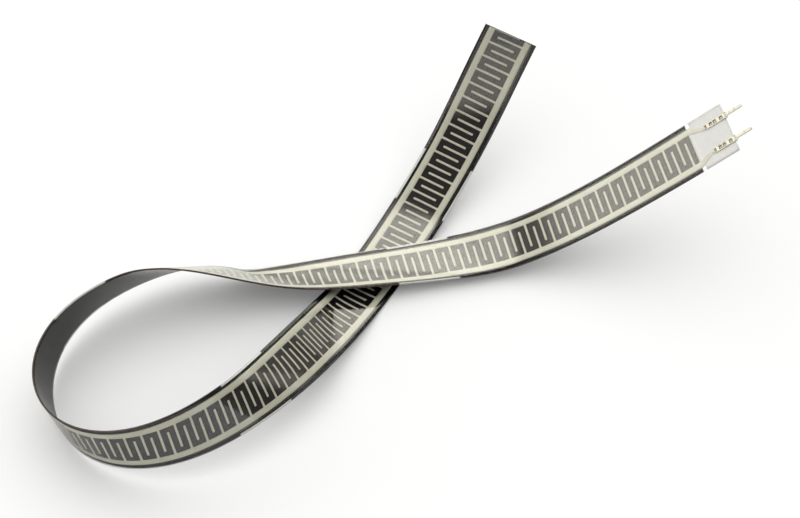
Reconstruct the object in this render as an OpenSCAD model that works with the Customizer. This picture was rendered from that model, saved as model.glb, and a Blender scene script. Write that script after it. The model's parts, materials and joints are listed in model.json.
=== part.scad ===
// Force sensing strip: a thin printed laminate that lies as an open loop and crosses itself
// once. It is drawn flat first, as s along the strip, v across it and h through it, with s
// counted from the tail's end, v to the left and h towards the front. Straight folds, one
// in each gap between two fingers, then turn the flat drawing into the lying shape. Every
// layer is flat between two folds, so the layers stay face to face and nothing stretches.

/* [Strip] */
// Width of the films
strip_w = 15.24; // [14.5:0.01:16]
// From the tail's end to the middle of the first finger
first_finger = 13; // [12.6:0.1:14]
// Number of finger pairs from there to the cut end
finger_pairs = 97; // [90:1:97]
// From one finger to the next in the same comb
finger_pitch = 4.3; // [4.2:0.01:4.4]

/* [Layers] */
// Thickness of the clear front film
front_film_t = 0.13; // [0.1:0.01:0.2]
// Thickness of the spacer that holds the printed faces apart
spacer_t = 0.1; // [0.08:0.01:0.15]
// Thickness of the printed silver
silver_t = 0.04; // [0.02:0.01:0.05]
// Thickness of the printed carbon
carbon_t = 0.04; // [0.03:0.01:0.06]
// Thickness of the rear film
rear_film_t = 0.1; // [0.08:0.01:0.15]
// Thickness of the mounting adhesive on the back
adhesive_t = 0.05; // [0.04:0.01:0.1]

/* [Silver combs] */
// Clear margin outside the left bus
margin_left = 1.3; // [1.2:0.05:1.5]
// Clear margin outside the right bus
margin_right = 1.55; // [1.3:0.05:1.7]
// Width of a bus
bus_w = 1.75; // [1.4:0.05:1.9]
// Width of a finger
finger_w = 0.63; // [0.5:0.01:0.8]
// Gap between a finger's tip and the other comb's bus
tip_gap = 1.55; // [1.2:0.05:2]
// Width of the trace that leads to a contact
trace_w = 1.2; // [1:0.05:1.4]

/* [Carbon and spacer] */
// Carbon beyond the middle of the first finger
carbon_lead = 1.75; // [1.5:0.05:2]
// Middle of the first cutting zone, in finger pairs
zone_first = 18.4; // [16:0.1:20]
// From one cutting zone to the next, in finger pairs
zone_every = 22.5; // [20:0.5:25]
// Length of a cutting zone, where the carbon is narrower
zone_len = 16.8; // [14:0.1:20]
// Carbon left out along each edge of a cutting zone
zone_inset = 0.5; // [0.3:0.05:0.7]
// Width of the spacer's rails along both edges
rail_w = 1.1; // [0.9:0.05:1.15]

/* [Tail and contacts] */
// Length of the milky backing behind the tail, along the edges
backing_l = 10.1; // [9:0.1:10.4]
// Gap between the middle of the backing and the carbon
backing_gap = 0.1; // [0.05:0.05:0.3]
// Width of the notch in each far corner of the backing
notch_w = 1.3; // [1:0.05:1.6]
// Thickness of the milky backing
backing_t = 0.2; // [0.15:0.01:0.25]
// Distance between the two contacts
contact_pitch = 7.62; // [7:0.01:8]
// Offset of the pair of contacts to the left of the middle
contact_shift = 0.2; // [0:0.05:0.4]
// Width of a contact's flat body
contact_w = 1.5; // [1.4:0.05:1.7]
// Length of a contact's body on the tail
contact_l = 6.6; // [6.4:0.1:6.8]
// Sheet thickness of a contact
contact_t = 0.2; // [0.15:0.01:0.25]
// Width of the shoulder
shoulder_w = 1.8; // [1.7:0.05:2]
// Length of the shoulder beyond the tail's end
shoulder_l = 0.9; // [0.7:0.05:1.2]
// Length of the pin beyond the shoulder
pin_l = 4.55; // [3:0.05:6]
// Side of the square pin
pin_w = 0.64; // [0.5:0.01:0.7]
// Length of the pin's tapered tip
tip_l = 0.35; // [0.2:0.05:0.6]
// Diameter of the dimple in the middle of the pin
dimple_d = 0.3; // [0.2:0.05:0.4]
// Width of a tine
tine_w = 0.45; // [0.35:0.05:0.5]
// Length of a tine's foot, bent flat behind the backing
foot_l = 0.5; // [0.3:0.05:0.6]
// Room round a tine in the layers that it pierces
tine_play = 0.02; // [0.01:0.01:0.05]

/* [Lie] */
// Distance between the stations of the two lists below
station_step = 13.5; // [13.3:0.1:13.7]
// Bend towards the back at each station, in degrees on 100 mm
bend = [0, -10, -25, -30, -55, -105, -65, -15, -5, -30, -105, 60, 150, 105, 165, 210, 220,
        230, 225, 185, 135, 110, 120, 65, -110, -65, -60, -90, -50, -80, -120, -90, -20]; // [-250:5:250]
// Lead of a fold's left end over its right end at each station
skew = [0, -6, -9, -9, -5, 3, -11, -34, -57, -39, -16, 6, 26, 6, 8, 6, 2,
        -2, -3, -6, -8, -11, -25, -1, 22, 23, 1, -13, 3, 0, -9, -12, 0]; // [-60:1:60]
// Heading in which the strip leaves its tail
heading = 191; // [0:1:360]

/* [Hidden] */
$fn = 32;

// The three corners that touch the table, each as its fold, left (1) or right (-1) end,
// and front (1) or back (-1) face
FEET = [[79, 1, -1], [79, -1, -1], [49, -1, 1]];
// Each window of a contact as its middle from the tail's end, its length and its width
WINDOWS = [[1.15, 0.8, 0.75], [3.1, 0.75, 0.95], [4.35, 0.75, 0.95], [6, 0.5, 0.6]];
// A corner nearer than this to a fold is put on the fold
snap = 0.03;
// Cutting tools reach this far beyond the faces that they cut
reach = 1;
// Carbon of full width that is left at the cut end at least
end_carbon = 1;

edge_v = strip_w / 2;
strip_l = first_finger + finger_pairs * finger_pitch;
carbon_s = first_finger - carbon_lead;
rail_v = edge_v - rail_w;
bus_out_left = edge_v - margin_left;
bus_in_left = bus_out_left - bus_w;
bus_out_right = edge_v - margin_right;
bus_in_right = bus_out_right - bus_w;
contact_v_left = contact_pitch / 2 + contact_shift;
contact_v_right = contact_pitch / 2 - contact_shift;

// Heights of the layers over the middle of the spacer
h_top = spacer_t / 2;
h_front = h_top + front_film_t;
h_silver = h_top - silver_t;
h_carbon = -spacer_t / 2;
h_rear = h_carbon - carbon_t;
h_adhesive = h_rear - rear_film_t;
h_back = h_adhesive - adhesive_t;
h_backing = h_silver - backing_t;

// The folds of the flat drawing: a fold is the line s = fold_s + fold_slope * v
fold_n = finger_pairs + 1;
fold_s = [for (j = [0:fold_n - 1]) first_finger + (j - 0.75) * finger_pitch];
fold_slope = [for (s = fold_s) at_station(skew, s) / strip_w];
fold_turn = [for (s = fold_s) at_station(bend, s) * finger_pitch / 100];

function at_station(values, s) =
    let (x = s / station_step, i = min(floor(x), len(values) - 2))
    values[i] + (x - i) * (values[i + 1] - values[i]);

function unit(a) = a / norm(a);
function spin(a, axis, turn) =
    a * cos(turn) + cross(axis, a) * sin(turn) + axis * (axis * a) * (1 - cos(turn));

// The facets one after another, each as its number, its start on the middle line, and
// its directions along and across the strip
function next_facet(f) =
    let (j = f[0], t = f[2], b = f[3], line = fold_slope[j] * t + b)
    let (axis = unit(line), turn = fold_turn[j] * norm(line))
    [j + 1, f[1] + (fold_s[j] - (j > 0 ? fold_s[j - 1] : 0)) * t, spin(t, axis, turn), spin(b, axis, turn)];
rolled = [for (f = [0, [0, 0, 0], [1, 0, 0], [0, 1, 0]]; f[0] <= fold_n;
               f = f[0] < fold_n ? next_facet(f) : [fold_n + 1]) f];

// The same facets laid on the table, on the three feet
function on_fold(facets, j, v, h) =
    let (t = facets[j + 1][2], b = facets[j + 1][3], before = cross(facets[j][2], facets[j][3]))
    let (front = cross(t, b), mitre = (before + front) / (1 + before * front))
    facets[j + 1][1] + v * (fold_slope[j] * t + b) + h * mitre;
function in_facet(facets, k, s, v, h) =
    let (t = facets[k][2], b = facets[k][3])
    facets[k][1] + (s - (k > 0 ? fold_s[k - 1] : 0)) * t + v * b + h * cross(t, b);
feet = [for (f = FEET) on_fold(rolled, f[0], f[1] * edge_v, f[2] > 0 ? h_front : h_back)];
plane = unit(cross(feet[1] - feet[0], feet[2] - feet[0]));
up = plane[2] > 0 ? plane : -plane;
ahead = unit([1, 0, 0] - up[0] * up);
aside = cross(up, ahead);
function lie(a) =
    let (x = a * ahead, y = a * aside)
    [x * cos(heading) - y * sin(heading), x * sin(heading) + y * cos(heading), a * up];
turned = [for (f = rolled) [f[0], lie(f[1]), lie(f[2]), lie(f[3])]];

// The lying strip is shifted until its box stands on z = 0 with its middle on the z axis
rim = [for (v = [-edge_v, edge_v], h = [h_back, h_front])
    each concat([in_facet(turned, 0, 0, v, h), in_facet(turned, fold_n, strip_l, v, h)],
                [for (j = [0:fold_n - 1]) on_fold(turned, j, v, h)])];
pin_end = -shoulder_l - pin_l;
pin_h = h_front + contact_t / 2;
tips = [for (v = [contact_v_left, -contact_v_right]) in_facet(turned, 0, pin_end, v, pin_h)];
low = [for (i = [0:2]) min([for (p = concat(rim, tips)) p[i]])];
high = [for (i = [0:2]) max([for (p = concat(rim, tips)) p[i]])];
shift = -[(low[0] + high[0]) / 2, (low[1] + high[1]) / 2, low[2]];
facets = [for (f = turned) [f[0], f[1] + shift, f[2], f[3]]];

// A cell is a flat convex piece of one layer, anticlockwise: each corner is given as s, v
// and whether the edge that leaves it is shared with a neighbouring cell
function mirrored(c) =
    [for (i = [len(c) - 1:-1:0]) [c[i][0], -c[i][1], c[(i + len(c) - 1) % len(c)][2]]];
function block(s0, s1, v0, v1) = [[s0, v0, false], [s1, v0, false], [s1, v1, false], [s0, v1, false]];

// Corners for cutting: s, v, the fold that the corner lies on, and its edge as two ends
// and whether it is shared
function corners(c) =
    [for (i = [0:len(c) - 1]) [c[i][0], c[i][1], -1, [c[i], c[(i + 1) % len(c)], c[i][2]]]];
fold_edge = [undef, undef, true];
function past(p, j) = p[0] - fold_s[j] - fold_slope[j] * p[1];
function side(p, j, way) = abs(past(p, j)) < snap ? 0 : way * past(p, j);
function crossing(edge, j) =
    let (swap = edge[0][0] > edge[1][0] || (edge[0][0] == edge[1][0] && edge[0][1] > edge[1][1]))
    let (a = swap ? edge[1] : edge[0], b = swap ? edge[0] : edge[1])
    let (v = a[1] + past(a, j) / (past(a, j) - past(b, j)) * (b[1] - a[1]))
    [fold_s[j] + fold_slope[j] * v, v];
function cut(c, j, way) =
    [for (i = [0:1:len(c) - 1])
        let (p = c[i], q = c[(i + 1) % len(c)], dp = side(p, j, way), dq = side(q, j, way))
        each concat(
            dp >= 0 ? [[p[0], p[1], dp == 0 ? j : p[2], dp == 0 && dq < 0 ? fold_edge : p[3]]] : [],
            dp * dq < 0 ? [concat(crossing(p[3], j), [j, dq < 0 ? fold_edge : p[3]])] : [])];

// The part of a cell that lies in facet k
function in_reach(c, k) =
    let (s0 = min([for (p = c) p[0]]), s1 = max([for (p = c) p[0]]))
    let (v0 = min([for (p = c) p[1]]), v1 = max([for (p = c) p[1]]))
    (k == fold_n || s0 < fold_s[k] + max(fold_slope[k] * v0, fold_slope[k] * v1) + snap)
    && (k == 0 || s1 > fold_s[k - 1] + min(fold_slope[k - 1] * v0, fold_slope[k - 1] * v1) - snap);
function piece(c, k) =
    let (whole = corners(c), from = k == 0 ? whole : cut(whole, k - 1, 1))
    k == fold_n ? from : cut(from, k, -1);
function is_solid(c) = len([for (p = c) if (p[2] < 0 || p[2] != c[0][2]) 1]) > 0 && len(c) > 2;

function place(p, k, h) = p[2] < 0 ? in_facet(facets, k, p[0], p[1], h) : on_fold(facets, p[2], p[1], h);
function faces_of(c, k, h0, h1) =
    let (n = len(c), under = [for (p = c) place(p, k, h0)], over = [for (p = c) place(p, k, h1)])
    concat([under, [for (i = [n - 1:-1:0]) over[i]]],
           [for (i = [0:n - 1]) if (!c[i][3][2]) [under[i], over[i], over[(i + 1) % n]]],
           [for (i = [0:n - 1]) if (!c[i][3][2]) [under[i], over[(i + 1) % n], under[(i + 1) % n]]]);

// One layer of the strip: cells from height h0 to h1, folded into the lying shape
module layer(cells, h0, h1) {
    skin = [for (c = cells, k = [0:fold_n]) if (in_reach(c, k))
        let (p = piece(c, k)) if (is_solid(p)) each faces_of(p, k, h0, h1)];
    polyhedron(points = [for (f = skin) each f],
               faces = [for (i = 0, n = 0; i < len(skin); n = n + len(skin[i]), i = i + 1)
                   [for (m = [0:len(skin[i]) - 1]) n + m]]);
}

// Places its children in the flat tail, with x as s, y as v and z as h
module on_tail() {
    t = facets[0][2];
    b = facets[0][3];
    f = cross(t, b);
    p = facets[0][1];
    multmatrix([[t[0], b[0], f[0], p[0]],
                [t[1], b[1], f[1], p[1]],
                [t[2], b[2], f[2], p[2]]]) children();
}

// A left-hand comb with its trace, drawn with positive v: the edges of each finger along
// the strip, the bus, the fingers, and the trace to the contact at v = contact_v
function finger_ends(first, count) =
    [for (k = [0:count - 1]) let (s = first + k * finger_pitch) [s - finger_w / 2, min(s + finger_w / 2, strip_l)]];
function comb(first, count, bus_in, bus_out, tip_v, contact_v) =
    let (ends = finger_ends(first, count), last = ends[count - 1][1])
    let (roots = [for (e = ends) each [[e[0], bus_in, true], [e[1], bus_in, false]]])
    let (outside = [[strip_l, bus_out, false], [carbon_s, bus_out, true]])
    let (corner = last < strip_l ? [[strip_l, bus_in, false]] : [])
    let (v0 = contact_v - trace_w / 2, v1 = contact_v + trace_w / 2, narrow_s = contact_l + trace_w / 4)
    concat([concat([[carbon_s, bus_in, false]], roots, corner, outside)],
           [for (e = ends) [[e[0], tip_v, false], [e[1], tip_v, false], [e[1], bus_in, true], [e[0], bus_in, false]]],
           [[[narrow_s, v0, false], [carbon_s, bus_in, true], [carbon_s, bus_out, false], [narrow_s, v1, true]]],
           [[[trace_w / 4, v0, false], [narrow_s, v0, true], [narrow_s, v1, false], [trace_w / 4, v1, false]]]);

// Slots for the tines of both contacts
module tine_slots() {
    on_tail() for (v = [contact_v_left, -contact_v_right], w = WINDOWS)
        translate([w[0] - w[1] / 2 - contact_t - tine_play, v - tine_w / 2 - tine_play, h_back - reach])
            cube([contact_t + 2 * tine_play, tine_w + 2 * tine_play, h_front - h_back + 2 * reach]);
}

module front_film() {
    color([0.86, 0.86, 0.84]) difference() {
        layer([block(0, strip_l, -edge_v, edge_v)], h_top, h_front);
        tine_slots();
    }
}

module silver_comb_left() {
    color([0.85, 0.83, 0.75]) difference() {
        layer(comb(first_finger, finger_pairs + 1, bus_in_left, bus_out_left,
                   -bus_in_right + tip_gap, contact_v_left), h_silver, h_top);
        tine_slots();
    }
}

module silver_comb_right() {
    cells = comb(first_finger + finger_pitch / 2, finger_pairs, bus_in_right, bus_out_right,
                 -bus_in_left + tip_gap, contact_v_right);
    color([0.85, 0.83, 0.75]) difference() {
        layer([for (c = cells) mirrored(c)], h_silver, h_top);
        tine_slots();
    }
}

// The spacer is a rail along each edge, clear of the silver
module spacer_adhesive() {
    color([0.92, 0.92, 0.88]) {
        layer([block(carbon_s, strip_l, rail_v, edge_v)], h_carbon, h_top);
        layer([block(carbon_s, strip_l, -edge_v, -rail_v)], h_carbon, h_top);
    }
}

// The carbon is as wide as the films, and narrower in the cutting zones
module carbon_layer() {
    middles = [for (k = [0:finger_pairs]) let (m = zone_first + k * zone_every)
        if (m < finger_pairs) first_finger + m * finger_pitch];
    zones = [for (m = middles) each [m - zone_len / 2, min(m + zone_len / 2, strip_l - end_carbon)]];
    ends = concat([carbon_s], zones, [strip_l]);
    last = len(zones);
    inner = edge_v - zone_inset;
    cells = [for (i = [0:last])
        let (s0 = ends[i], s1 = ends[i + 1], v = i % 2 == 0 ? edge_v : inner)
        let (right = [[s1, -inner, i < last], [s1, inner, false]], left = [[s0, inner, i > 0], [s0, -inner, false]])
        i % 2 == 1 ? concat(right, left)
                   : concat([[s0, -v, false], [s1, -v, false]], right, [[s1, v, false], [s0, v, false]], left)];
    color([0.16, 0.16, 0.16]) layer(cells, h_rear, h_carbon);
}

module rear_film() {
    color([0.3, 0.3, 0.3]) layer([block(carbon_s, strip_l, -edge_v, edge_v)], h_adhesive, h_rear);
}

module mounting_adhesive() {
    color([0.24, 0.24, 0.23]) layer([block(carbon_s, strip_l, -edge_v, edge_v)], h_back, h_adhesive);
}

// The backing is full width at the tail's end, and between its notches reaches the carbon
module tail_backing() {
    v = edge_v - notch_w;
    s = carbon_s - backing_gap;
    cells = [[[0, -edge_v, false], [backing_l, -edge_v, false], [backing_l, -v, true], [backing_l, v, false],
              [backing_l, edge_v, false], [0, edge_v, false]],
             [[backing_l, -v, false], [s, -v, false], [s, v, false], [backing_l, v, true]]];
    color([0.88, 0.88, 0.87]) difference() {
        layer(cells, h_backing, h_silver);
        tine_slots();
    }
}

// A contact seen from the front, with its pierced body, shoulder and square pin
module contact_plan() {
    pin = pin_w / 2;
    shoulder = shoulder_w / 2;
    body = contact_w / 2;
    difference() {
        union() {
            polygon([[pin_end, -pin + tip_l / 2], [pin_end + tip_l, -pin], [-shoulder_l, -pin],
                     [-shoulder_l / 2, -shoulder], [-tine_play, -shoulder], [-tine_play, shoulder],
                     [-shoulder_l / 2, shoulder], [-shoulder_l, pin], [pin_end + tip_l, pin],
                     [pin_end, pin - tip_l / 2]]);
            translate([-shoulder_l / 2, -body]) square([shoulder_l / 2 + contact_l - body, contact_w]);
            translate([contact_l - body, 0]) circle(body);
        }
        for (w = WINDOWS) translate([w[0] - w[1] / 2, -w[2] / 2]) square([w[1], w[2]]);
    }
}

// The same contact seen from its side, with the pin as thick as it is wide
module contact_side() {
    pin = pin_w / 2;
    sheet = contact_t / 2;
    polygon([[pin_end, -pin + tip_l / 2], [pin_end + tip_l, -pin], [-shoulder_l / 2, -pin],
             [-tine_play, -sheet], [contact_l, -sheet], [contact_l, sheet], [-tine_play, sheet],
             [-shoulder_l / 2, pin], [pin_end + tip_l, pin], [pin_end, pin - tip_l / 2]]);
}

// A tine goes through the tail beside its window, and its foot lies flat behind the backing
module tine(w) {
    leg_s = w[0] - w[1] / 2 - contact_t;
    translate([leg_s, -tine_w / 2, h_backing - contact_t])
        cube([contact_t, tine_w, h_front + contact_t - h_backing + contact_t]);
    translate([leg_s, -tine_w / 2, h_backing - contact_t]) cube([contact_t + foot_l, tine_w, contact_t]);
}

module contact(v) {
    color([0.8, 0.79, 0.74]) on_tail() translate([0, v, 0]) difference() {
        union() {
            intersection() {
                translate([0, 0, pin_h - pin_w]) linear_extrude(2 * pin_w) contact_plan();
                translate([0, shoulder_w, pin_h]) rotate([90, 0, 0]) linear_extrude(2 * shoulder_w) contact_side();
            }
            for (w = WINDOWS) tine(w);
        }
        translate([pin_end + pin_l / 2, 0, pin_h + pin_w / 2 - dimple_d / 3]) cylinder(h = dimple_d, d = dimple_d);
    }
}

module contact_left() { contact(contact_v_left); }
module contact_right() { contact(-contact_v_right); }

front_film();
silver_comb_left();
silver_comb_right();
spacer_adhesive();
carbon_layer();
rear_film();
mounting_adhesive();
tail_backing();
contact_left();
contact_right();
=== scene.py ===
# %% [markdown]
# # A force sensing strip, dressed in Blender
# The object is a printed laminate 15 mm wide and less than half a millimetre thick. It
# lies on a table as an open loop that crosses itself once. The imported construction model
# gives its place and its pieces. This script gives every layer a fine mesh that bends
# smoothly, and a finish: clear film, silver ink, carbon ink, adhesive and tinned metal.
# All lengths of the object are in millimetres in the cells, and become metres on the way
# into Blender.

# %% Load the frame
import json
import math

import bpy
import numpy as np
from mathutils import Matrix, Vector


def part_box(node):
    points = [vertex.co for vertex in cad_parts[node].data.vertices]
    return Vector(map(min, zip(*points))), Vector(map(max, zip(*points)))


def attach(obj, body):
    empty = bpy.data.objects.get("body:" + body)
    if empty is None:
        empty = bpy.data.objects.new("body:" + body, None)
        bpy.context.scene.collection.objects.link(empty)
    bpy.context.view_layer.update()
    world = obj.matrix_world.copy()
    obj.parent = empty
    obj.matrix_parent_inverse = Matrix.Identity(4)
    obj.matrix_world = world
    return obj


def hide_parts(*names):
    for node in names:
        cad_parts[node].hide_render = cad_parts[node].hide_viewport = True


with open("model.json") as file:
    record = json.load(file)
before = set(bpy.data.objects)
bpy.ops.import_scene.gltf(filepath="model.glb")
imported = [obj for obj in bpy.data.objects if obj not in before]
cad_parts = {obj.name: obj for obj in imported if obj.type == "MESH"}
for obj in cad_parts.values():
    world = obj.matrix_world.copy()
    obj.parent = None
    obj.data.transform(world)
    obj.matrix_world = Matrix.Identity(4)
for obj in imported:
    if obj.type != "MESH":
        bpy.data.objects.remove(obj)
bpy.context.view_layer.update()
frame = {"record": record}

MM = 0.001
scene = bpy.context.scene

# %% [markdown]
# ## The flat drawing
# A laminate is drawn flat and bent afterwards, in the workshop and here. Three numbers
# name any point of it: s along the strip from the tail's end, v across it with the left
# edge positive, and h through it with the front positive. The sizes are those of the
# construction model.

# %% Sizes of the flat drawing
strip_w = 15.24
first_finger = 13.0
finger_pairs = 97
finger_pitch = 4.3
strip_l = first_finger + finger_pairs * finger_pitch
edge_v = strip_w / 2

spacer_t = 0.1
front_film_t = 0.13
silver_t = 0.04
carbon_t = 0.04
rear_film_t = 0.1
adhesive_t = 0.05
backing_t = 0.2
h_top = spacer_t / 2
h_front = h_top + front_film_t
h_silver = h_top - silver_t
h_carbon = -spacer_t / 2
h_rear = h_carbon - carbon_t
h_adhesive = h_rear - rear_film_t
h_back = h_adhesive - adhesive_t
h_backing = h_silver - backing_t
print("the flat strip is", strip_l, "by", strip_w, "by", round(h_front - h_back, 3), "mm")

# %% [markdown]
# ## Where the tail starts
# The construction model states a mount on the two pins, so its place and axis say where
# the strip begins and which way it leaves. The line between the middles of the two
# contacts gives the direction across. Nothing is fitted by eye.

# %% The tail's own axes
shoulder_l = 0.9
pin_l = 4.55
contact_t = 0.2
contact_shift = 0.2
contact_pitch = 7.62
pin_end = -shoulder_l - pin_l
pin_h = h_front + contact_t / 2


def middle(node):
    low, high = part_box(node)
    return np.array((low + high) / 2)


pins = next(m for m in frame["record"]["mounts"] if m["name"] == "contact_pins")
tail_t = -np.array(pins["axis"])
tail_b = middle("contact_left") - middle("contact_right")
tail_b = tail_b / np.linalg.norm(tail_b)
tail_f = np.cross(tail_t, tail_b)
tail_p = np.array(pins["pos_m"]) / MM - pin_end * tail_t - contact_shift * tail_b - pin_h * tail_f
print("the tail starts at", tail_p.round(3), "mm and runs along", tail_t.round(4))

# %% [markdown]
# ## How the strip bends
# A printed film bends but doesn't stretch, so at every place it rolls about a straight
# line. The bend says how fast it rolls, and the skew says how far that line leans over
# from square. Both are given at stations 13.5 mm apart, as in the construction model. The
# model has one crease in each gap between two fingers and rounded numbers. Here each gap
# has eight small creases, fine enough to look round, and the numbers are fitted to the
# photographed outline once more. The two shapes stay 1.5 mm apart at most.

# %% Creases
station_step = 13.5
bend = [0.5, -10.2, -17.4, -33, -52.4, -120.2, -60.9, 20.6, -53.1, -0.6, -147, 73.2, 178.7, 92.4,
        157.8, 215, 221.1, 225.7, 216.8, 200, 132.1, 98.1, 142, 59.6, -115.8, -73.7, -55.3, -66.1,
        -57, -92.5, -125, -94.8, -54.7]
skew = [0, -14.58, -13, -3.84, -1.39, 0.36, -11.47, -34.49, -56.63, -33.58, -10.49, 12.55, 17.77,
        8.6, 8.14, 6.03, 2.1, -1.54, -3.55, -5.88, -7.89, -11.71, -23.29, -0.28, 22.86, 18.74,
        -4.29, -7.54, 0.57, -2.94, -8.52, -10.9, 0]
creases_a_pitch = 8
first_fold = first_finger - 0.75 * finger_pitch


def at_station(values, s):
    return np.interp(s, station_step * np.arange(len(values)), values)


crease_gap = finger_pitch / creases_a_pitch
crease_n = creases_a_pitch * (finger_pairs + 1)
crease_s = first_fold - finger_pitch / 2 + crease_gap * (np.arange(crease_n) + 0.5)
crease_slope = at_station(skew, crease_s) / strip_w
crease_turn = np.radians(at_station(bend, crease_s) * crease_gap / 100)
print(crease_n, "creases, from s =", round(crease_s[0], 2), "to s =", round(crease_s[-1], 2))

# %% [markdown]
# Between two creases the strip is flat. Its flat pieces follow one another: each starts
# on the middle line at its crease, and has its directions along and across the strip
# turned about the crease. Rodrigues' formula turns a vector about a line.

# %% Flat pieces between the creases


def turned(vector, axis, angle):
    along = axis * np.dot(axis, vector) * (1 - math.cos(angle))
    return vector * math.cos(angle) + np.cross(axis, vector) * math.sin(angle) + along


starts, alongs, acrosses = [tail_p], [tail_t], [tail_b]
start_s = np.concatenate([[0], crease_s])
for i in range(crease_n):
    t, b = alongs[-1], acrosses[-1]
    line = crease_slope[i] * t + b
    size = np.linalg.norm(line)
    starts.append(starts[-1] + (start_s[i + 1] - start_s[i]) * t)
    alongs.append(turned(t, line / size, crease_turn[i] * size))
    acrosses.append(turned(b, line / size, crease_turn[i] * size))
starts, alongs, acrosses = np.array(starts), np.array(alongs), np.array(acrosses)
fronts = np.cross(alongs, acrosses)
print(len(starts), "flat pieces, the last one at", starts[-1].round(2), "mm")

# %% [markdown]
# One function then carries any point of the flat drawing into space. For the points on
# one line along the strip, a sorted search finds the flat piece that each is in. The
# thickness is laid off along a direction that turns gradually from one flat piece to the
# next, so that thin layers keep their gaps in a bend.

# %% From the flat drawing into space


def bent(s, v, h):
    """Points of the flat drawing as points of the bent strip, in mm."""
    s, v, h = np.broadcast_arrays(np.asarray(s, float), v, h)
    points = np.empty(s.shape + (3,))
    for across in np.unique(v):
        here = v == across
        lines = crease_s + crease_slope * across
        k = np.searchsorted(lines, s[here])
        before, after = lines[np.maximum(k - 1, 0)], lines[np.minimum(k, crease_n - 1)]
        inside = (k > 0) & (k < crease_n)
        part = np.where(inside, (s[here] - before) / np.where(inside, after - before, 1) - 0.5, 0)
        beside = np.clip(k + np.sign(part).astype(int), 0, crease_n)
        weight = np.abs(part)[:, None]
        front = fronts[k] * (1 - weight) + fronts[beside] * weight
        run = (s[here] - start_s[k])[:, None]
        points[here] = starts[k] + run * alongs[k] + across * acrosses[k] + h[here][:, None] * front
    return points


# %% [markdown]
# Nothing holds the far half of the strip, so it rests on the table. Probes along both rims
# find its lowest point, and that half is raised or lowered until the point touches. The
# tail keeps the place that the construction model gives it, and the middle goes along in
# proportion.

# %% Resting on the table
probe_n = 1600
probe = np.linspace(0, strip_l, probe_n)[:, None, None]
rims = bent(probe, np.array([-edge_v, edge_v])[None, :, None], np.array([h_back, h_front]))
settling = -rims[..., 2].min()


def place(s, v, h):
    """Points of the flat drawing, in mm, as points in space, in metres."""
    points = bent(s, v, h)
    points[..., 2] += settling * np.clip(s / strip_l * 2, 0, 1)
    return points * MM


print("the far half is moved by", round(settling, 3), "mm, so that it lies on the table")

# %% [markdown]
# ## Solids from flat patches
# Every layer is a flat pattern of four-sided patches with a thickness. Vertices that
# meet become one, patches get a front and a back, and each border gets a wall. That
# makes a closed solid of any outline, with holes too, and its patches are small enough
# to follow the bend. The flat place of each vertex is stored on the mesh as an attribute
# called flat, and the finishes paint by it.

# %% Patches and solids


def filled(lines, gap):
    """The given lines with more lines between them, no further apart than gap."""
    lines = np.unique(np.round(lines, 4))
    runs = [np.linspace(a, b, 2 + int((b - a) / gap))[:-1] for a, b in zip(lines[:-1], lines[1:])]
    return np.concatenate(runs + [lines[-1:]])


def patch(s_lines, v_lines):
    """The cells of a grid, each anticlockwise as seen from the front."""
    s0, v0 = np.meshgrid(s_lines[:-1], v_lines[:-1])
    s1, v1 = np.meshgrid(s_lines[1:], v_lines[1:])
    corners = [(s0, v0), (s1, v0), (s1, v1), (s0, v1)]
    return np.stack([np.stack([s.ravel(), v.ravel()], 1) for s, v in corners], 1)


def solid(name, cells, low, high, node):
    """A closed solid over flat cells. low and high are heights, or functions of s and v."""
    flat, at = np.unique(np.round(cells.reshape(-1, 2), 4), axis=0, return_inverse=True)
    at = at.reshape(-1, 4)
    n = len(flat)
    edges = np.stack([at, np.roll(at, -1, 1)], 2).reshape(-1, 2)
    codes = edges[:, 0] * n + edges[:, 1]
    border = edges[~np.isin(edges[:, 1] * n + edges[:, 0], codes)]
    walls = np.stack([border[:, 0] + n, border[:, 1] + n, border[:, 1], border[:, 0]], 1)
    faces = np.concatenate([at, at[:, ::-1] + n, walls])
    heights = [level(*flat.T) if callable(level) else np.full(n, level) for level in (high, low)]
    drawn = np.concatenate([np.column_stack([flat, height]) for height in heights])
    mesh = bpy.data.meshes.new(name)
    mesh.from_pydata(place(*drawn.T).tolist(), [], faces.tolist())
    mesh.attributes.new("flat", "FLOAT_VECTOR", "POINT").data.foreach_set("vector", drawn.ravel())
    is_wall = np.arange(len(faces)) >= 2 * len(at)
    mesh.polygons.foreach_set("use_smooth", ~is_wall)
    mesh.materials.append(None)
    mesh.materials.append(None)
    mesh.polygons.foreach_set("material_index", is_wall.astype(int))
    piece = bpy.data.objects.new(name, mesh)
    scene.collection.objects.link(piece)
    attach(piece, "root")
    if node:
        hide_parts(node)
    print(name, "has", len(faces), "faces, of which", len(walls), "are wall")
    return piece


# %% [markdown]
# ## Films
# The front film is one clear sheet over the whole length. The rear film and the mounting
# adhesive start where the carbon starts, and behind the tail there is a short milky film
# instead, with a notch in each far corner. All are cut with a blade, so grids of cells
# draw them. The cells are about as long as the creases are apart. Layers that lie on each
# other are drawn three micrometres apart, since two faces in one place would flicker. A
# hair is the play allowed where two places are compared.

# %% Front film, rear film, adhesive and milky backing
carbon_s = first_finger - 1.75
backing_l = 10.1
backing_gap = 0.1
notch_w = 1.3
cell_l = crease_gap
cell_w = 1.0
print_play = 0.003
hair = 0.001

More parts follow.
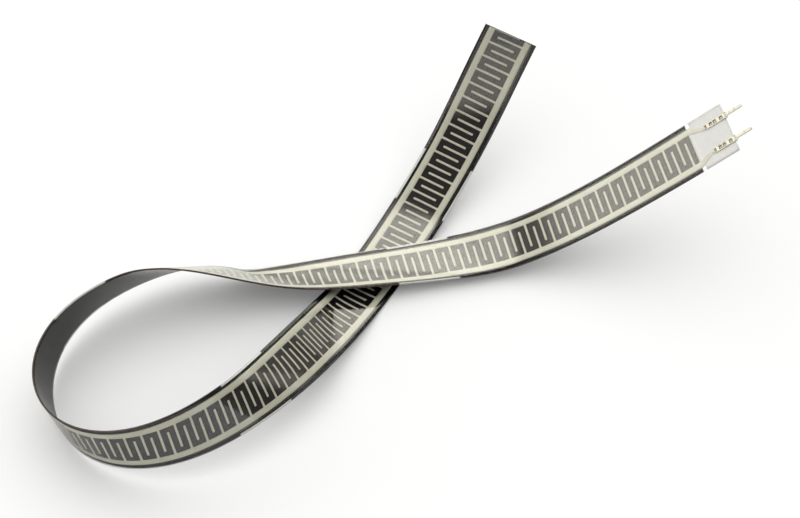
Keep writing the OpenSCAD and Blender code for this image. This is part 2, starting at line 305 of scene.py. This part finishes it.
whole_width = filled([-edge_v, edge_v], cell_w)
front_film = solid("front_film_sheet", patch(filled([0, strip_l], cell_l), whole_width),
                   h_top, h_front, "front_film")
rear_film = solid("rear_film_sheet", patch(filled([carbon_s, strip_l], cell_l), whole_width),
                  h_adhesive, h_rear - print_play, "rear_film")
adhesive = solid("adhesive_sheet", patch(filled([carbon_s, strip_l], cell_l), whole_width),
                 h_back, h_adhesive - print_play, "mounting_adhesive")
notch_v = edge_v - notch_w
milky_width = filled([-edge_v, -notch_v, notch_v, edge_v], cell_w)
between_notches = milky_width[abs(milky_width) < notch_v + hair]
milky_cells = [patch(filled([0, backing_l], cell_l), milky_width),
               patch(filled([backing_l, carbon_s - backing_gap], cell_l), between_notches)]
milky_tail = solid("milky_tail_film", np.concatenate(milky_cells), h_backing, h_silver - print_play,
                   "tail_backing")

# %% [markdown]
# ## Silver combs
# Two combs are printed behind the front film, and their fingers reach between each
# other. A comb could be one outline cut into triangles, but grids that share their lines
# bend better: a bus, a row of fingers that stand on it, and the trace that runs
# slantwise to its contact. Screen print rounds a finger's tip a little.

# %% Comb pattern
margin_left = 1.3
margin_right = 1.55
bus_w = 1.75
finger_w = 0.63
tip_gap = 1.55
trace_w = 1.2
contact_l = 6.6
tip_r = 0.16
finger_cell_w = 0.8
bus_cell_l = 0.65
trace_cell_l = 0.4
bus_in_left = edge_v - margin_left - bus_w
bus_in_right = edge_v - margin_right - bus_w


def fingers(middles, bus_in, tip_v):
    """Fingers from the bus to a rounded tip, three lines wide."""
    tip_rows = tip_v + tip_r * np.array([0, 0.2, 0.6])
    rows = np.concatenate([tip_rows, filled([tip_v + tip_r, bus_in], finger_cell_w)])
    cells = []
    for middle_s in middles:
        lines = np.unique(np.minimum(middle_s + finger_w / 2 * np.array([-1, 0, 1]), strip_l).round(4))
        finger = patch(lines, rows)
        in_tip = 1 - np.clip((finger[..., 1] - tip_v) / tip_r, 0, 1)
        narrowing = 1 - 2 * tip_r / finger_w * (1 - np.sqrt(1 - in_tip ** 2))
        finger[..., 0] = np.minimum(middle_s + (finger[..., 0] - middle_s) * narrowing, strip_l)
        cells.append(finger)
    return np.concatenate(cells)


def comb(first, count, bus_in, tip_v, contact_v):
    """A left-hand comb: its fingers, its bus and the trace to its contact."""
    middles = first + finger_pitch * np.arange(count)
    stands = np.minimum((middles[:, None] + finger_w / 2 * np.array([-1, 0, 1])).ravel(), strip_l)
    across = np.linspace(0, 1, 4)
    bus_lines = filled(np.concatenate([[carbon_s, strip_l], stands]), bus_cell_l)
    bus = patch(bus_lines, bus_in + bus_w * across)
    narrow_s = contact_l + trace_w / 4
    trace = patch(filled([trace_w / 4, narrow_s, carbon_s], trace_cell_l), across)
    share = np.clip((trace[..., 0] - narrow_s) / (carbon_s - narrow_s), 0, 1)
    ease = (share + share ** 2 * (3 - 2 * share)) / 2
    low_v = contact_v - trace_w / 2 + ease * (bus_in - contact_v + trace_w / 2)
    trace[..., 1] = low_v + trace[..., 1] * (trace_w + ease * (bus_w - trace_w))
    return np.concatenate([fingers(middles, bus_in, tip_v), bus, trace])


# %% [markdown]
# The right comb is drawn as a left one too, half a pitch further along. Then it is turned
# over about the middle line, and the corners of its cells are taken in reverse, so that
# they still run anticlockwise.

# %% Both combs
contact_v_left = contact_pitch / 2 + contact_shift
contact_v_right = contact_pitch / 2 - contact_shift
left_comb = comb(first_finger, finger_pairs + 1, bus_in_left,
                 tip_gap - bus_in_right, contact_v_left)
right_comb = comb(first_finger + finger_pitch / 2, finger_pairs, bus_in_right,
                  tip_gap - bus_in_left, contact_v_right)
silver_left = solid("silver_left_print", left_comb, h_silver, h_top - print_play,
                    "silver_comb_left")
silver_right = solid("silver_right_print", right_comb[:, ::-1] * (1, -1), h_silver,
                     h_top - print_play, "silver_comb_right")

# %% [markdown]
# ## Carbon and spacer
# The carbon is printed on the rear film over its whole width, apart from four cutting
# zones, where it stays half a millimetre off each edge, so that a cut there can't short
# it. The clear margins that this leaves show as pale slivers with small jogs at their
# ends. The spacer is a clear rail of adhesive along each edge, and keeps the two printed
# faces a tenth of a millimetre apart.

# %% Carbon print and spacer rails
zone_first = 18.4
zone_every = 22.5
zone_l = 16.8
zone_inset = 0.5
rail_w = 1.1
rail_v = edge_v - rail_w
zone_middles = first_finger + finger_pitch * (zone_first + zone_every * np.arange(4))
zone_ends = np.stack([zone_middles - zone_l / 2, zone_middles + zone_l / 2], 1)
inner_v = edge_v - zone_inset

carbon_lines = filled(np.concatenate([[carbon_s], zone_ends.ravel(), [strip_l]]), cell_l)
carbon_cells = [patch(carbon_lines, filled([-inner_v, inner_v], cell_w))]
full_ends = np.concatenate([[carbon_s], zone_ends.ravel(), [strip_l]]).reshape(-1, 2)
for full_from, full_to in full_ends.round(4):
    lines = carbon_lines[(carbon_lines > full_from - hair) & (carbon_lines < full_to + hair)]
    carbon_cells += [patch(lines, [-edge_v, -inner_v]), patch(lines, [inner_v, edge_v])]
carbon = solid("carbon_print", np.concatenate(carbon_cells), h_rear, h_carbon - print_play,
               "carbon_layer")
print("the cutting zones reach over s =", zone_ends.round(1).tolist())

rail_lines = filled([carbon_s, strip_l], cell_l)
rail_cells = [patch(rail_lines, rail) for rail in ([-edge_v, -rail_v], [rail_v, edge_v])]
rails = solid("spacer_rails", np.concatenate(rail_cells), h_carbon, h_top - print_play,
              "spacer_adhesive")

# %% [markdown]
# ## Contacts
# Each trace ends under a contact, stamped from tinned sheet: a square pin, a shoulder,
# and a flat body with four windows. The pin has a dimple in its middle. A tine beside each
# window pierces the film, and its foot is folded flat behind it. The body is one more
# pattern of cells, whose width and thickness change along it. One lowered vertex makes the
# dimple, and a bevel rounds the edges as the stamping does. A window's half width, as a
# share of the body's, is called window_u.

# %% Contact bodies
shoulder_w = 1.8
contact_w = 1.5
pin_w = 0.64
tip_l = 0.35
dimple_d = 0.3
dimple_s = pin_end + pin_l / 2
tine_w = 0.45
foot_l = 0.5
nose_blunt = 0.02
step_l = 0.02
stamped_r = 0.05
contact_cell_l = 0.5
window_u = 0.58
windows = [(0.75, 1.55), (2.72, 3.48), (3.97, 4.73), (5.75, 6.15)]


def half_width(s):
    """Half the width of a contact at s: pin, shoulder, body and half-round nose.

    The nose stays blunt at its very tip, where its half width squared is nose_blunt.
    """
    in_nose = np.clip(s - contact_l + contact_w / 2, 0, None)
    nose = np.sqrt(np.clip((contact_w / 2) ** 2 - in_nose ** 2, nose_blunt, None))
    at = [pin_end, pin_end + tip_l, -shoulder_l, -shoulder_l / 2, -step_l, 0]
    wide = [pin_w / 4, pin_w / 2, pin_w / 2, shoulder_w / 2, shoulder_w / 2, contact_w / 2]
    return np.where(s > 0, nose, np.interp(s, at, wide))


def half_height(s):
    """Half the thickness of a contact at s: the square pin thins to sheet at the body."""
    at = [pin_end, pin_end + tip_l, -shoulder_l / 2, -step_l]
    return np.interp(s, at, [pin_w / 4, pin_w / 2, pin_w / 2, contact_t / 2])


def contact_cells(v):
    """The flat pattern of a contact whose middle line is at v, without its windows."""
    nose_angles = np.radians([0, 20, 40, 60, 75, 90])
    nose_lines = contact_l - contact_w / 2 + contact_w / 2 * np.sin(nose_angles)
    dimple_lines = dimple_s + dimple_d / 2 * np.array([-1, 0, 1])
    pin_lines = [pin_end, pin_end + tip_l, -shoulder_l, -shoulder_l / 2, -step_l, 0]
    places = np.concatenate([pin_lines, dimple_lines, np.ravel(windows), nose_lines])
    cells = patch(filled(places, contact_cell_l), np.array([-1, -window_u, 0, window_u, 1]))
    mid_s, mid_u = cells.mean(1).T
    open_here = [(mid_s > a) & (mid_s < b) & (abs(mid_u) < window_u) for a, b in windows]
    cells = cells[~np.any(open_here, 0)]
    cells[..., 1] = v + cells[..., 1] * half_width(cells[..., 0])
    return cells


def contact_body(name, v, node):
    def under(at_s, at_v):
        return pin_h - half_height(at_s)

    def over(at_s, at_v):
        in_dimple = np.isclose(at_s, dimple_s, atol=0.01) & np.isclose(at_v, v, atol=0.01)
        return pin_h + half_height(at_s) - dimple_d / 2 * in_dimple

    body = solid(name, contact_cells(v), under, over, node)
    bevel = body.modifiers.new("rounded edges", "BEVEL")
    bevel.width = stamped_r * MM
    bevel.segments = 2
    bevel.limit_method = "ANGLE"
    return body


print("a contact has", len(contact_cells(contact_v_left)), "cells, and", len(windows), "windows")

# %% [markdown]
# ## Feet of the tines
# Seen from behind, the only metal is the feet: a short flat tab beside each window. The
# leg of a tine stays inside the films, so it isn't drawn. The feet of one contact are four
# separate patches of one solid, which is enough for shapes that never move.

# %% Feet, and both contacts


def tine_feet(name, v):
    across = [v - tine_w / 2, v + tine_w / 2]
    tabs = [patch([start - contact_t, start + foot_l], across) for start, _ in windows]
    return solid(name, np.concatenate(tabs), h_backing - contact_t, h_backing - print_play,
                 None)


contact_left = contact_body("contact_left_stamping", contact_v_left, "contact_left")
feet_left = tine_feet("contact_left_stamping_feet", contact_v_left)
contact_right = contact_body("contact_right_stamping", -contact_v_right, "contact_right")
feet_right = tine_feet("contact_right_stamping_feet", -contact_v_right)

# %% [markdown]
# ## A way to write finishes
# A finish is a tree of nodes. Written call by call it is hard to read, so a small class
# wraps a socket and lets Python's signs stand for Math nodes.

# %% Wires


class Wire:
    """A value on its way through a tree of nodes."""

    def __init__(self, tree, socket):
        self.tree = tree
        self.socket = socket

    def other(self, name):
        return Wire(self.tree, self.socket.node.outputs[name])

    def maths(self, operation, *others):
        return self.tree.maths(operation, self, *others)

    def __add__(self, other):
        return self.maths("ADD", other)

    def __radd__(self, other):
        return self.tree.maths("ADD", other, self)

    def __sub__(self, other):
        return self.maths("SUBTRACT", other)

    def __rsub__(self, other):
        return self.tree.maths("SUBTRACT", other, self)

    def __mul__(self, other):
        return self.maths("MULTIPLY", other)

    def __rmul__(self, other):
        return self.tree.maths("MULTIPLY", other, self)

    def __pow__(self, other):
        return self.maths("POWER", other)

    def __gt__(self, other):
        return self.maths("GREATER_THAN", other)

    def __lt__(self, other):
        return self.maths("LESS_THAN", other)

    def __abs__(self):
        return self.maths("ABSOLUTE")

    def fade(self, start, end):
        """0 before start and 1 past end, or the other way round where end is lower."""
        sockets = {"Value": self, "From Min": min(start, end), "From Max": max(start, end),
                   "To Min": float(start > end), "To Max": float(start < end)}
        return self.tree.node("MapRange", {"interpolation_type": "SMOOTHSTEP"}, sockets)


# %% [markdown]
# One method makes any node from its type, its settings and what its sockets get. Three
# short ones stand on it, for Math nodes and for mixing colours and shaders, since every
# finish here needs them.

# %% Trees


class Tree:
    """The nodes of one finish or of the surroundings."""

    def __init__(self, owner):
        owner.use_nodes = True
        self.nodes = owner.node_tree.nodes
        self.links = owner.node_tree.links
        self.nodes.clear()

    def node(self, kind, settings=None, inputs=None, out=0):
        made = self.nodes.new("ShaderNode" + kind)
        for name, value in (settings or {}).items():
            setattr(made, name, value)
        for name, value in (inputs or {}).items():
            if isinstance(value, Wire):
                self.links.new(value.socket, made.inputs[name])
            else:
                made.inputs[name].default_value = value
        return Wire(self, made.outputs[out]) if made.outputs else None

    def maths(self, operation, *values):
        return self.node("Math", {"operation": operation}, dict(enumerate(values)))

    def mix_colours(self, factor, first, second):
        return self.node("Mix", {"data_type": "RGBA"}, {0: factor, 6: first, 7: second}, out=2)

    def mix_shaders(self, factor, first, second):
        return self.node("MixShader", {}, {0: factor, 1: first, 2: second})


# %% [markdown]
# Colours are written as they read on a screen. A finish becomes a material, and a piece is
# dressed in two: one for its faces, and one for the walls along its borders.

# %% Colours and finishes


def colour(red, green, blue):
    """A colour as it reads on a screen, from 0 to 255, as Blender's linear numbers."""
    screen = [value / 255 for value in (red, green, blue)]
    return [v / 12.92 if v < 0.04045 else ((v + 0.055) / 1.055) ** 2.4 for v in screen] + [1]


def finish(name, surface):
    """A material whose shader is what the function surface makes in its tree."""
    material = bpy.data.materials.new(name)
    tree = Tree(material)
    tree.node("OutputMaterial", {}, {"Surface": surface(tree)})
    print(name, "has", len(tree.nodes), "nodes")
    return material


def dress(piece, face, rim=None):
    piece.data.materials[0] = face
    piece.data.materials[1] = rim or face


print("the grey of the screen's middle is", round(colour(128, 128, 128)[0], 3), "in Blender")

# %% [markdown]
# ## Places and textures that the finishes share
# The flat place tells a finish where it is on the print: under the rails, in a cutting
# zone, over the carbon. Real film is never quite level either, so its shine gets long
# low waves. They are what makes a mirrored edge wander. A clear layer is always a mix of
# the same two shaders, one to see through and one that mirrors.

# %% Shared helpers


def flat_place(tree):
    """The flat place as a vector, and s, v and h as numbers."""
    flat = tree.node("Attribute", {"attribute_name": "flat"}, out="Vector")
    s = tree.node("SeparateXYZ", {}, {"Vector": flat})
    return flat, s, s.other("Y"), s.other("Z")


def noise(tree, flat, size, detail=2.0, rough=0.5):
    """A cloudy pattern of about 0 to 1 with features of a size in mm."""
    sockets = {"Vector": flat, "Scale": 1 / size, "Detail": detail, "Roughness": rough}
    return tree.node("TexNoise", {}, sockets)


def relief(tree, height, depth):
    """A normal from a pattern whose 0 to 1 is that many mm deep."""
    return tree.node("Bump", {}, {"Strength": 1.0, "Distance": depth * MM, "Height": height})


def film_waves(tree, flat):
    return relief(tree, noise(tree, flat, 16.0, 1.0), 0.07)


def turned_away(tree):
    """0 where a face is seen square, 1 where it is seen edge on."""
    return tree.node("LayerWeight", {}, {"Blend": 0.5}, out="Facing")


def grazing(tree, least, power=5):
    """How much a clear surface mirrors: least when seen square, all at a grazing view."""
    return least + (1 - least) * turned_away(tree) ** power


def in_zone(s):
    """1 in a cutting zone. The zones repeat, so one remainder finds them all."""
    period = finger_pitch * zone_every
    shifted = s - (zone_middles[0] - period / 2)
    return abs(shifted.maths("FLOORED_MODULO", period) - period / 2) < zone_l / 2


def see_through(tree, red, green, blue):
    return tree.node("BsdfTransparent", {}, {"Color": (red, green, blue, 1)})


def mirroring(tree, roughness, normal):
    return tree.node("BsdfPrincipled", {}, {"Base Color": (1, 1, 1, 1), "Metallic": 1.0,
                                            "Roughness": roughness, "Normal": normal})


print("a cutting zone comes again every", finger_pitch * zone_every, "mm")

# %% [markdown]
# ## Clear film
# A clear film is seen only by what it mirrors. A glass shader would bend light that
# hardly bends in a tenth of a millimetre, and would cost noise, so the film is a mix of
# a transparent and a mirroring shader. It mirrors more at a grazing view. Its front does
# so everywhere. Its back does so only over the air gap, since the rails and the milky
# film are stuck to it, and that is why the black margins look deeper than the middle.
# Seen nearly edge on, the many faces of the stack add up to almost a full mirror, and
# the print drowns in it, so the front face gets a little more there.

# %% Clear film finish
mirror_least = 0.06
edge_on_shine = 0.6


def clear_film_surface(tree):
    flat, s, v, h = flat_place(tree)
    is_front = h > (h_top + h_front) / 2
    over_gap = (abs(v) < rail_v) * (s > backing_l)
    edge_on = edge_on_shine * turned_away(tree).fade(0.78, 0.93) * is_front
    shine = edge_on + grazing(tree, mirror_least) * (is_front + (1 - is_front) * over_gap)
    clear = see_through(tree, 0.985, 0.985, 0.98)
    return tree.mix_shaders(shine, clear, mirroring(tree, 0.04, film_waves(tree, flat)))


def cut_edge_surface(tree):
    """A blade's cut through the layers: pale where all is clear, brown over the carbon. The pale is
    partly a painted highlight of light that the cut edges catch.
    """
    flat, s, v, h = flat_place(tree)
    dark = (s > carbon_s) * (1 - in_zone(s))
    # The pale tint is partly the cut's own colour and partly a painted highlight of light caught on
    # the edges.
    tint = tree.mix_colours(dark, colour(222, 223, 216), colour(72, 56, 46))
    cut = tree.node("BsdfPrincipled", {}, {"Base Color": tint, "Roughness": 0.35})
    return tree.mix_shaders(0.6 + 0.35 * dark, see_through(tree, 0.9, 0.9, 0.88), cut)


clear_film = finish("clear_film", clear_film_surface)
cut_edge = finish("cut_edge", cut_edge_surface)
dress(front_film, clear_film, cut_edge)

# %% [markdown]
# ## Silver ink
# Silver-loaded ink is warm, almost matt, with a very faint metal sheen. Fine grain comes
# from the screen's mesh, and broad clouds from an uneven deposit.

# %% Silver finish


def silver_surface(tree):
    flat, s, v, h = flat_place(tree)
    clouds = noise(tree, flat, 6.0, 3.0)
    grain = noise(tree, flat, 0.12, 2.0, 0.7)
    tint = tree.mix_colours(clouds.fade(0.3, 0.7), colour(220, 218, 197), colour(227, 225, 208))
    tint = tree.mix_colours(0.15 * grain, tint, colour(180, 176, 150))
    return tree.node("BsdfPrincipled", {}, {"Base Color": tint, "Metallic": 0.03,
                                            "Specular IOR Level": 0.2, "Roughness": 0.36 + 0.1 * grain,
                                            "Normal": relief(tree, grain, 0.01)})


silver_ink = finish("silver_ink", silver_surface)
dress(silver_left, silver_ink)
dress(silver_right, silver_ink)

# %% [markdown]
# ## Carbon ink
# Carbon ink is black, and its smooth face mirrors a little over the air gap. Under the
# rails the adhesive wets it and it doesn't mirror at all. A coat is that shine, and its
# weight is one over the gap and nothing under the rails.

# %% Carbon finish


def carbon_surface(tree):
    flat, s, v, h = flat_place(tree)
    grain = noise(tree, flat, 0.2, 2.0, 0.7)
    bonded = (abs(v) > rail_v).maths("MAXIMUM", h < (h_carbon + h_rear) / 2)
    tint = tree.mix_colours(noise(tree, flat, 5.0), colour(24, 23, 24), colour(31, 30, 31))
    return tree.node("BsdfPrincipled", {}, {"Base Color": tint, "Roughness": 0.5 + 0.1 * grain,
                                            "Specular IOR Level": 0.0, "Coat Weight": 1 - bonded,
                                            "Coat Roughness": 0.14, "Coat IOR": 1.5})


carbon_ink = finish("carbon_ink", carbon_surface)
dress(carbon, carbon_ink, cut_edge)

# %% [markdown]
# ## Back of the strip
# The rear film and the adhesive behind it are clear as well, and the carbon shows
# through them. The film, like the rails, is stuck down and mirrors only faintly. The outer
# face of the adhesive mirrors more, and softly. In the cutting zones no carbon lies behind
# the outer half millimetre, and the stack of adhesives scatters there: that is the pale
# sliver.

# %% Rear film, adhesive and spacer finishes


def bonded_film_surface(tree):
    flat, s, v, h = flat_place(tree)
    mirror = mirroring(tree, 0.1, film_waves(tree, flat))
    faint = 0.15 * grazing(tree, mirror_least)
    film = tree.mix_shaders(faint, see_through(tree, 0.97, 0.97, 0.96), mirror)
    pale = {"Base Color": colour(240, 240, 236), "Roughness": 0.5}
    sliver = tree.node("BsdfPrincipled", {}, pale)
    return tree.mix_shaders(0.95 * in_zone(s) * (abs(v) > inner_v), film, sliver)


def adhesive_surface(tree):
    flat, s, v, h = flat_place(tree)
    waves = relief(tree, noise(tree, flat, 14.0) + 0.05 * noise(tree, flat, 0.8), 0.1)
    outer = h < (h_adhesive + h_back) / 2
    shine = 0.95 * grazing(tree, 0.02, 4) * outer
    clear = see_through(tree, 0.95, 0.95, 0.93)
    return tree.mix_shaders(shine, clear, mirroring(tree, 0.16, waves))


bonded_film = finish("bonded_film", bonded_film_surface)
soft_adhesive = finish("soft_adhesive", adhesive_surface)
dress(rear_film, bonded_film, cut_edge)
dress(adhesive, soft_adhesive, cut_edge)
dress(rails, bonded_film, cut_edge)

# %% [markdown]
# ## Milky film and tinned metal
# The milky film behind the tail is an even, slightly warm white. The contacts are bright
# tin, yellowed a little. Beside the windows where they were pierced the tin is painted
# brown: painted shade of those recesses, with some brown oxide. A mask over s and v finds
# the windows, and noise breaks it up. The dimple is painted darker too: painted shade.

# %% Milky film and tin finishes


def milky_surface(tree):
    flat, s, v, h = flat_place(tree)
    clouds = noise(tree, flat, 3.0).fade(0.3, 0.7)
    tint = tree.mix_colours(clouds, colour(225, 224, 222), colour(230, 229, 227))
    return tree.node("BsdfPrincipled", {}, {"Base Color": tint, "Roughness": 0.4})


shade_and_oxide_w = 1.1
shade_and_oxide_reach = 0.12


def tin_surface(tree):
    flat, s, v, h = flat_place(tree)
    grain = noise(tree, flat, 0.25, 3.0, 0.6)
    stain = noise(tree, flat, 0.5, 2.0).fade(0.5, 0.62)
    tint = tree.mix_colours(grain, colour(224, 222, 204), colour(242, 240, 226))
    tint = tree.mix_colours(0.25 * stain, tint, colour(160, 148, 114))
    off_middle = abs(abs(v - contact_shift) - contact_pitch / 2)
    beside = off_middle < shade_and_oxide_w / 2
    pierced = sum((s > start - shade_and_oxide_reach) * (s < end + shade_and_oxide_reach) for start, end in windows)
    # Painted shade in the pierced windows, with some brown oxide: a darker brown mixed into the tin.
    shade_and_oxide = beside * pierced * noise(tree, flat, 0.35, 2.0).fade(0.22, 0.42)
    tint = tree.mix_colours(0.9 * shade_and_oxide, tint, colour(112, 98, 72))
    # Painted shade: the dimple on the pin's front face is painted darker.
    dimple = (off_middle < dimple_d / 2) * (abs(s - dimple_s) < dimple_d / 2) * (h > pin_h)
    tint = tree.mix_colours(0.6 * dimple, tint, colour(120, 112, 88))
    return tree.node("BsdfPrincipled", {}, {"Base Color": tint, "Metallic": 0.5,
                                            "Roughness": 0.3 + 0.15 * grain,
                                            "Normal": relief(tree, grain, 0.02)})


milky_film = finish("milky_film", milky_surface)
tinned_metal = finish("tinned_metal", tin_surface)
dress(milky_tail, milky_film)
for metal in (contact_left, feet_left, contact_right, feet_right):
    dress(metal, tinned_metal)

# %% [markdown]
# ## Table
# The strip lies on a pale table, which keeps the shadows. A little light of its own, which
# only the camera sees, carries it to white. In mirrors its far part is painted a little warm
# and darker, and its near part greyer: painted shade of the table where the strip keeps
# light off it.

# %% Table
table_glow = 0.09
near_from = 15 * MM
near_to = -5 * MM


def table_surface(tree):
    seen = tree.node("LightPath", {}, {}, out="Is Camera Ray")
    in_mirror = seen.other("Is Glossy Ray")
    seen_through = seen + seen.other("Is Transmission Ray")
    position = tree.node("NewGeometry", {}, {}, out="Position")
    place_y = tree.node("SeparateXYZ", {}, {"Vector": position}, out="Y")
    # Painted shade, seen only in mirrors: the table darker and warm, and greyer near the strip.
    far = tree.mix_colours(in_mirror, colour(243, 243, 242), colour(228, 227, 217))
    mirrored_near_shade = in_mirror * place_y.fade(near_from, near_to)
    tint = tree.mix_colours(mirrored_near_shade, far, colour(198, 198, 197))
    matt = tree.node("BsdfDiffuse", {}, {"Color": tint})
    glow = table_glow * seen_through.maths("MINIMUM", 1.0)
    light = tree.node("Emission", {}, {"Color": (1, 1, 1, 1), "Strength": glow})
    return tree.node("AddShader", {}, {0: matt, 1: light})


table_mesh = bpy.data.meshes.new("table")
reach = 3.0
table_corners = [(-reach, -reach, 0), (reach, -reach, 0), (reach, reach, 0), (-reach, reach, 0)]
table_mesh.from_pydata(table_corners, [], [(0, 1, 2, 3)])
table = bpy.data.objects.new("table", table_mesh)
scene.collection.objects.link(table)
table_mesh.materials.append(finish("table_top", table_surface))

# %% [markdown]
# ## Studio
# The photograph's shadows hug the strip, and are a little wider in front of it. A dome that
# is brighter overhead, at the back and on the left lights everything so. What the films
# mirror is painted on the world by direction instead, and is slightly warm: a large soft
# box behind the object over a white backdrop, a smaller box on the left, grey walls on the
# right and in front, and a dark ceiling. Azimuth is 0 behind the object and grows to the
# right. Where a camera looks past the table it sees plain white.

# %% Directions in the studio
world = bpy.data.worlds.new("studio")
scene.world = world
sky = Tree(world)
towards = sky.node("TexCoord", {}, {}, out="Generated")
x = sky.node("SeparateXYZ", {}, {"Vector": towards})
y, z = x.other("Y"), x.other("Z")
azimuth = x.maths("ARCTAN2", y) * (180 / math.pi)
elevation = z.maths("ARCSINE") * (180 / math.pi)


def between(angle, low, high, soft):
    """1 between two angles in degrees and 0 beyond them, with soft borders."""
    return angle.fade(low - soft, low + soft) * angle.fade(high + soft, high - soft)


def panel(brightness, sides, heights):
    """A patch of light. Its sides and its heights are each two angles and a softness."""
    return brightness * between(azimuth, *sides) * between(elevation, *heights)


print("directions take", len(sky.nodes), "nodes")

# %% [markdown]
# Each box and wall is one expression. The big box gets brighter with height and then a
# little darker again, and fades out below the ceiling. The film's mirror picks up these
# steps as it turns, and so the ink changes from grey to black along the strip.

# %% Boxes, walls and dome
ceiling = 0.11
darkest = 0.05
rise = 1.6 * elevation.fade(0, 20) + 1.2 * elevation.fade(36, 46) - 0.65 * elevation.fade(50, 58)
back_box = between(azimuth, -41, 33, 6) * rise * elevation.fade(80, 73)
backdrop = panel(0.8, (-62, 36, 8), (-12, 12, 8))
left_box = panel(1.8, (-115, -61, 6), (20, 58, 8))
gap_glow = panel(0.3, (-66, -44, 6), (25, 60, 8))
right_wall = panel(0.2, (44, 74, 6), (-12, 26, 8)) + panel(0.5, (74, 92, 6), (-12, 26, 8))
front_wall = 0.7 * abs(azimuth).fade(110, 140) * between(elevation, -12, 42, 10)
mirrored = ceiling + back_box + backdrop + left_box + gap_glow + right_wall + front_wall
dome = (0.6 + 0.66 * abs(z) + 0.65 * y - 0.3 * x).maths("MAXIMUM", darkest)

seen = sky.node("LightPath", {}, {}, out="Is Camera Ray")
in_mirror = seen.other("Is Glossy Ray")
strength = seen + (1 - seen) * (in_mirror * mirrored + (1 - in_mirror) * dome)
warmth = sky.mix_colours(in_mirror, (1, 1, 1, 1), (1, 0.97, 0.87, 1))
background = sky.node("Background", {}, {"Color": warmth, "Strength": strength})
sky.node("OutputWorld", {}, {"Surface": background})
print("the studio has", len(sky.nodes), "nodes")

# %% [markdown]
# ## Camera
# A long lens 0.65 m away looks down on the strip at about 48 degrees, with a small roll,
# as the photograph does. The numbers come from the same fit as the bend and the skew.

# %% Camera
view_elevation = math.radians(48.36)
view_turn = math.radians(0.104)
view_roll = math.radians(2.267)
aim = Vector((0.93, 12.27, 0)) * MM
distance = 651.8 * MM
forward = Vector((-math.sin(view_turn) * math.cos(view_elevation),
                  math.cos(view_turn) * math.cos(view_elevation), -math.sin(view_elevation)))
level = forward.cross(Vector((0, 0, 1))).normalized()
steep = level.cross(forward)
right = level * math.cos(view_roll) + steep * math.sin(view_roll)
upright = right.cross(forward)
camera_data = bpy.data.cameras.new("camera")
camera_data.sensor_width = 36
camera_data.lens = 108
camera = bpy.data.objects.new("camera", camera_data)
turn = Matrix((right, upright, -forward)).transposed().to_4x4()
camera.matrix_world = Matrix.Translation(aim - distance * forward) @ turn
scene.collection.objects.link(camera)
scene.camera = camera
scene.view_settings.view_transform = "Standard"
print("the camera stands at", [round(c, 4) for c in camera.location])
